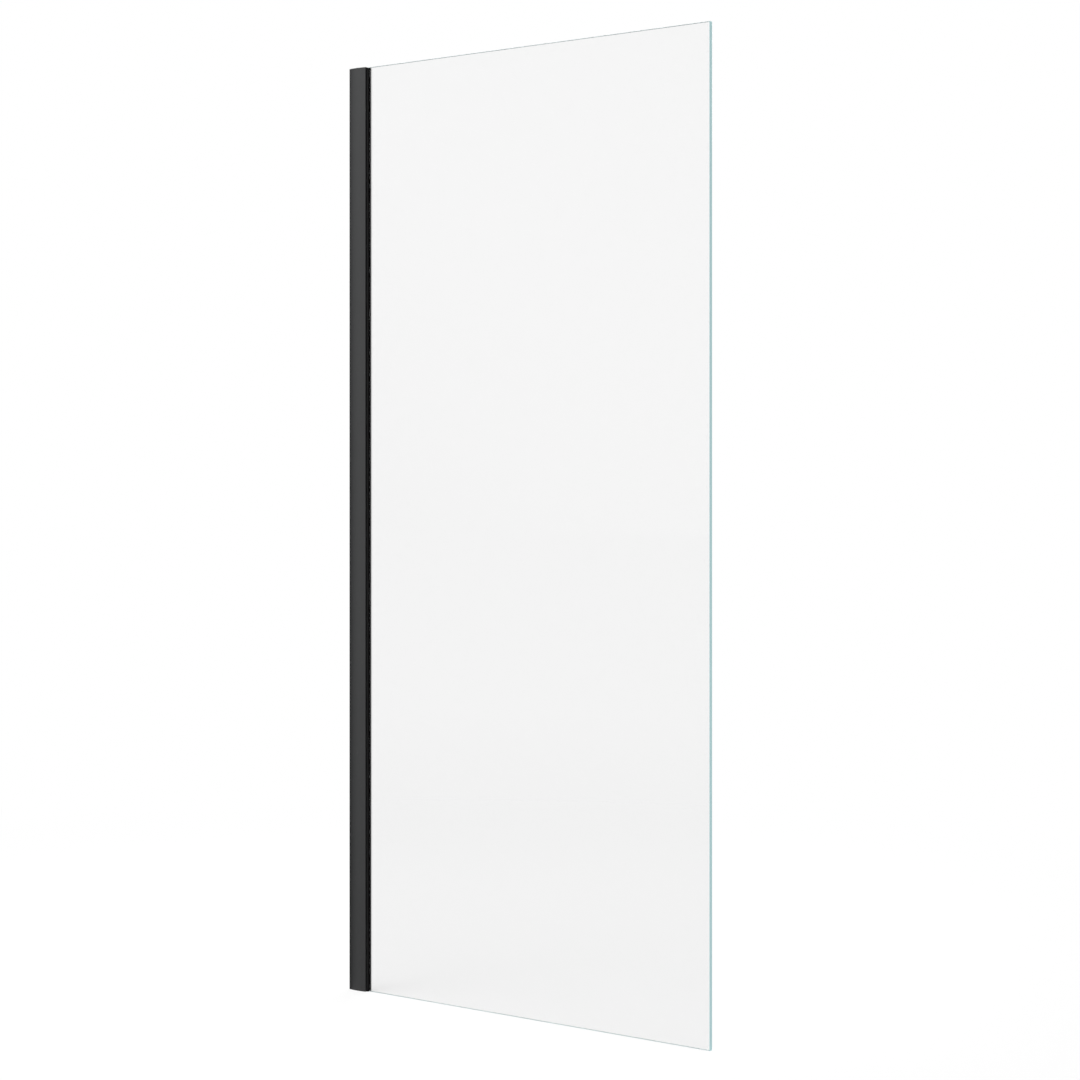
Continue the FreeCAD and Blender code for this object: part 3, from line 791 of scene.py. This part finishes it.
# The thread is a triangle wound up the core, closed at both ends and then added to it.
bpy.ops.object.select_all(action="DESELECT")
bpy.ops.mesh.primitive_circle_add(
    vertices=3, radius=thread_form * MM, rotation=(0, 0, -math.pi / 2),
    location=Vector((clamp_x, screw_low.y + thread_start, first_clamp)) * MM,
)
thread = bpy.context.object
bpy.ops.object.transform_apply(location=False, rotation=True, scale=False)
select_parts(thread, "VERT", lambda corners: True)
bpy.ops.transform.translate(value=Vector((thread_radius - thread_form, 0, 0)) * MM)
bpy.ops.object.mode_set(mode="OBJECT")
winding = thread.modifiers.new("winding", "SCREW")
winding.axis = "Y"
winding.screw_offset = thread_pitch * MM
winding.iterations = int((guide_side - screw_low.y - 2 * thread_start) / thread_pitch)
winding.steps = thread_steps
winding.render_steps = thread_steps
bpy.ops.object.modifier_apply(modifier=winding.name)
bpy.ops.object.transform_apply(location=True, rotation=True, scale=True)
select_parts(thread, "EDGE", lambda corners: True)
bpy.ops.mesh.fill_holes(sides=0)
bpy.ops.mesh.normals_make_consistent(inside=False)
bpy.ops.object.mode_set(mode="OBJECT")
combine(clamp_screw, thread, "UNION")
smooth(clamp_screw)

# Stainless steel, cold formed and rolled: a bright, slightly warm grey with the fine mottle that the
# dies leave.
forming_mottle = 0.5
stainless, tree, shader, place = new_finish("cold_formed_stainless_steel")
shader.inputs["Metallic"].default_value = 1.0
mottle = add_node(
    tree, "ShaderNodeTexNoise", {"Scale": 1 / (forming_mottle * MM), "Detail": 3.0}, {"Vector": place}
)
tone = add_node(
    tree, "ShaderNodeMixRGB", {"Color1": linear("#b5b2ac"), "Color2": linear("#cbc8c2")},
    {"Fac": mottle.outputs["Fac"]},
)
gloss = add_node(
    tree, "ShaderNodeMapRange", {"To Min": 0.18, "To Max": 0.36}, {"Value": mottle.outputs["Fac"]}
)
tree.links.new(tone.outputs["Color"], shader.inputs["Base Color"])
tree.links.new(gloss.outputs["Result"], shader.inputs["Roughness"])
clamp_screw.data.materials.append(stainless)

for number, screw in enumerate(copy_up(clamp_screw, "machine_screw", clamp_heights), start=1):
    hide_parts(f"clamp_screw_{number}")
    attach(screw, "wall_unit")

# Screw caps: four round caps that hide the clamp screws on the shower side, each pushed into its access
# hole until a barb on its hollow plug snaps behind the skin. They are moulded in the same black nylon
# as the end cap, with a small nick in the rim to pry them off.
disc_low, disc_high = [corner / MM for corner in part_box("screw_cap_1")]
rim_radius = (disc_high.x - disc_low.x) / 2
rim_round = 0.6
# How far the round of the rim has fallen back a third and two thirds of the way through its turn.
rim_arc_near = rim_round * 0.13
rim_arc_far = rim_round * 0.5
dome_rise = 0.1
dome_fall = 0.02
rim_top = disc_high.y - dome_rise
bed_sink = 0.05
cap_bed = bow_side(clamp_x + rim_radius) - bed_sink
plug_inside = 4.3
plug_outside = 4.9
barb_radius = 5.2
barb_length = 0.5
barb_top = disc_low.y + barb_length
nick_width = 3.0
nick_height = 1.0
nick_depth = 0.7
nick_proud = 1.0

screw_cap = turn_outline("push_in_cap_a", [
    (0, cap_bed),
    (plug_inside, cap_bed),
    (plug_inside, disc_low.y),
    (plug_outside, disc_low.y),
    (barb_radius, barb_top),
    (plug_outside, barb_top),
    (plug_outside, cap_bed),
    (rim_radius, cap_bed),
    (rim_radius, rim_top - rim_round),
    (rim_radius - rim_arc_near, rim_top - rim_arc_far),
    (rim_radius - rim_arc_far, rim_top - rim_arc_near),
    (rim_radius - rim_round, rim_top),
    (rim_radius / 2, disc_high.y - dome_fall),
    (0, disc_high.y),
], clamp_x, first_clamp)
rim_foot = first_clamp - rim_radius
nick = new_box(
    "nick",
    (clamp_x - nick_width / 2, crown - nick_height / 2, rim_foot - nick_proud),
    (clamp_x + nick_width / 2, crown + nick_height / 2, rim_foot + nick_depth),
)
combine(screw_cap, nick, "DIFFERENCE")
smooth(screw_cap)
screw_cap.data.materials.append(nylon)

for number, cap in enumerate(copy_up(screw_cap, "push_in_cap", clamp_heights), start=1):
    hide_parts(f"screw_cap_{number}")
    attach(cap, "wall_unit")

# Studio, in metres: a plain white floor that keeps a soft shadow near the panel, and white surroundings,
# lit by two large soft lights. The eye sees them white, straight or through nothing but clear glass. What
# gloss mirrors of them is brightest in front and above, and dim where it is mirrored through the pane.
floor_side = 60.0
floor_drop = 0.0005
# Light that has made fewer turns than these, besides going through glass, counts as seen by the eye.
floor_turns = 0.5
world_turns = 1.5
world_light = 0.5
studio_white = linear("#ffffff")
front_way = (-0.38, -0.815, 0.438)
front_levels = {"From Min": 0.66, "From Max": 0.92, "To Min": 0.0, "To Max": 1.45}
# In gloss, floor to the right of a line of this slope through the profile counts as lying on that line.
front_slope = 0.93
back_way = (0.0, 0.99, 0.1)
back_levels = {"From Min": 0.2, "From Max": 0.8, "To Min": 0.0, "To Max": 0.9}
near_levels = {"From Min": 0.3, "From Max": 6.0, "To Min": 0.7, "To Max": 1.0}
shadow_levels = {"From Min": 1.2, "From Max": 3.0, "To Min": 0.78, "To Max": 1.0}
lamp_aim = Vector((0.4, 0, 0.9))


def add_surroundings(tree, way, turns):
    """Add nodes that give how far the eye sees a place of the studio, straight or through clear glass,
    how far gloss does, and how bright it is in gloss, by the way to it from the panel."""
    path = add_node(tree, "ShaderNodeLightPath", {})
    turned = add_node(
        tree, "ShaderNodeMath", {"operation": "SUBTRACT"},
        {0: path.outputs["Ray Depth"], 1: path.outputs["Transmission Depth"]},
    )
    unturned = add_node(
        tree, "ShaderNodeMath", {"operation": "LESS_THAN", 1: turns}, {0: turned.outputs["Value"]}
    )
    through = add_node(
        tree, "ShaderNodeMath", {"operation": "MULTIPLY"},
        {0: path.outputs["Is Transmission Ray"], 1: unturned.outputs["Value"]},
    )
    seen = add_node(
        tree, "ShaderNodeMath", {"operation": "MAXIMUM"},
        {0: path.outputs["Is Camera Ray"], 1: through.outputs["Value"]},
    )
    levels = []
    for towards, edges in ((front_way, front_levels), (back_way, back_levels)):
        facing = add_node(
            tree, "ShaderNodeVectorMath", {"operation": "DOT_PRODUCT", 1: towards}, {0: way}
        )
        levels.append(add_node(
            tree, "ShaderNodeMapRange", {"interpolation_type": "SMOOTHSTEP", **edges},
            {"Value": facing.outputs["Value"]},
        ))
    no_glass = add_node(
        tree, "ShaderNodeMath", {"operation": "SUBTRACT", 0: 1.0},
        {1: path.outputs["Is Transmission Ray"]},
    )
    back_level = add_node(
        tree, "ShaderNodeMath", {"operation": "MULTIPLY"},
        {0: levels[1].outputs["Result"], 1: no_glass.outputs["Value"]},
    )
    level = add_node(
        tree, "ShaderNodeMath", {"operation": "MAXIMUM"},
        {0: levels[0].outputs["Result"], 1: back_level.outputs["Value"]},
    )
    return seen.outputs["Value"], path.outputs["Is Glossy Ray"], level.outputs["Value"]


bpy.ops.object.select_all(action="DESELECT")
bpy.ops.mesh.primitive_plane_add(size=floor_side, location=(0, 0, -floor_drop))
floor = bpy.context.object
floor.name = "studio_floor"
floor_white, tree, shader, place = new_finish("matte_white_studio_floor")
shader.inputs["Base Color"].default_value = linear("#ebebeb")
shader.inputs["Roughness"].default_value = 0.9
shader.inputs["Specular IOR Level"].default_value = 0.0
from_profile = add_node(
    tree, "ShaderNodeVectorMath", {"operation": "SUBTRACT", 1: (bow_middle * MM, 0, 0)}, {0: place}
)
away = add_node(
    tree, "ShaderNodeVectorMath", {"operation": "LENGTH"}, {0: from_profile.outputs["Vector"]}
)
parts = add_node(tree, "ShaderNodeSeparateXYZ", {}, {0: from_profile.outputs["Vector"]})
most = add_node(
    tree, "ShaderNodeMath", {"operation": "MULTIPLY", 1: front_slope}, {0: parts.outputs["Y"]}
)
along = add_node(
    tree, "ShaderNodeMath", {"operation": "MINIMUM"}, {0: parts.outputs["X"], 1: most.outputs["Value"]}
)
from_panel = add_node(
    tree, "ShaderNodeCombineXYZ", {}, {"X": along.outputs["Value"], "Y": parts.outputs["Y"]}
)
way = add_node(
    tree, "ShaderNodeVectorMath", {"operation": "NORMALIZE"}, {0: from_panel.outputs["Vector"]}
)
seen, glossy, level = add_surroundings(tree, way.outputs["Vector"], floor_turns)
near_dim = add_node(tree, "ShaderNodeMapRange", near_levels, {"Value": away.outputs["Value"]})
floor_level = add_node(
    tree, "ShaderNodeMath", {"operation": "MULTIPLY"}, {0: level, 1: near_dim.outputs["Result"]}
)
white_share = add_node(
    tree, "ShaderNodeMapRange", {"interpolation_type": "SMOOTHSTEP", **shadow_levels},
    {"Value": away.outputs["Value"]},
)
white = add_node(tree, "ShaderNodeEmission", {"Color": studio_white, "Strength": 1.0})
for_eye = add_node(
    tree, "ShaderNodeMixShader", {},
    {0: white_share.outputs["Result"], 1: shader.outputs["BSDF"], 2: white.outputs["Emission"]},
)
mirrored = add_node(
    tree, "ShaderNodeEmission", {"Color": studio_white}, {"Strength": floor_level.outputs["Value"]}
)
for_gloss = add_node(
    tree, "ShaderNodeMixShader", {},
    {0: glossy, 1: shader.outputs["BSDF"], 2: mirrored.outputs["Emission"]},
)
for_all = add_node(
    tree, "ShaderNodeMixShader", {},
    {0: seen, 1: for_gloss.outputs["Shader"], 2: for_eye.outputs["Shader"]},
)
tree.links.new(for_all.outputs["Shader"], tree.nodes["Material Output"].inputs["Surface"])
floor.data.materials.append(floor_white)

surroundings = bpy.data.worlds.new("white_studio")
surroundings.use_nodes = True
bpy.context.scene.world = surroundings
tree = surroundings.node_tree
plain = tree.nodes["Background"]
plain.inputs["Color"].default_value = studio_white
plain.inputs["Strength"].default_value = world_light
way = add_node(tree, "ShaderNodeTexCoord", {})
seen, glossy, level = add_surroundings(tree, way.outputs["Generated"], world_turns)
mirrored = add_node(tree, "ShaderNodeBackground", {"Color": studio_white}, {"Strength": level})
for_gloss = add_node(
    tree, "ShaderNodeMixShader", {},
    {0: glossy, 1: plain.outputs["Background"], 2: mirrored.outputs["Background"]},
)
white = add_node(tree, "ShaderNodeBackground", {"Color": studio_white, "Strength": 1.0})
for_all = add_node(
    tree, "ShaderNodeMixShader", {},
    {0: seen, 1: for_gloss.outputs["Shader"], 2: white.outputs["Background"]},
)
tree.links.new(for_all.outputs["Shader"], tree.nodes["World Output"].inputs["Surface"])

for name, stand, side, power in (
    ("softbox_overhead", (-0.8, -1.5, 4.6), 3.0, 190),
    ("softbox_behind", (-0.9, 3.0, 3.2), 2.4, 60),
):
    bpy.ops.object.light_add(type="AREA", location=stand)
    softbox = bpy.context.object
    softbox.name = name
    softbox.data.size = side
    softbox.data.energy = power
    softbox.visible_transmission = False
    softbox.rotation_euler = (lamp_aim - softbox.location).to_track_quat("-Z", "Y").to_euler()

# Camera: level, at chest height in front of the panel and to its right, with the lens shifted to keep
# the uprights parallel.
camera_stand = (3.5489, -3.8121, 1.0695)
camera_turn = 38.693
bpy.ops.object.camera_add(
    location=camera_stand, rotation=(math.pi / 2, 0, math.radians(camera_turn))
)
camera = bpy.context.object
camera.data.lens = 83.67
camera.data.sensor_width = 36
camera.data.shift_y = -0.0637
bpy.context.scene.camera = camera
bpy.context.scene.view_settings.view_transform = "Standard"
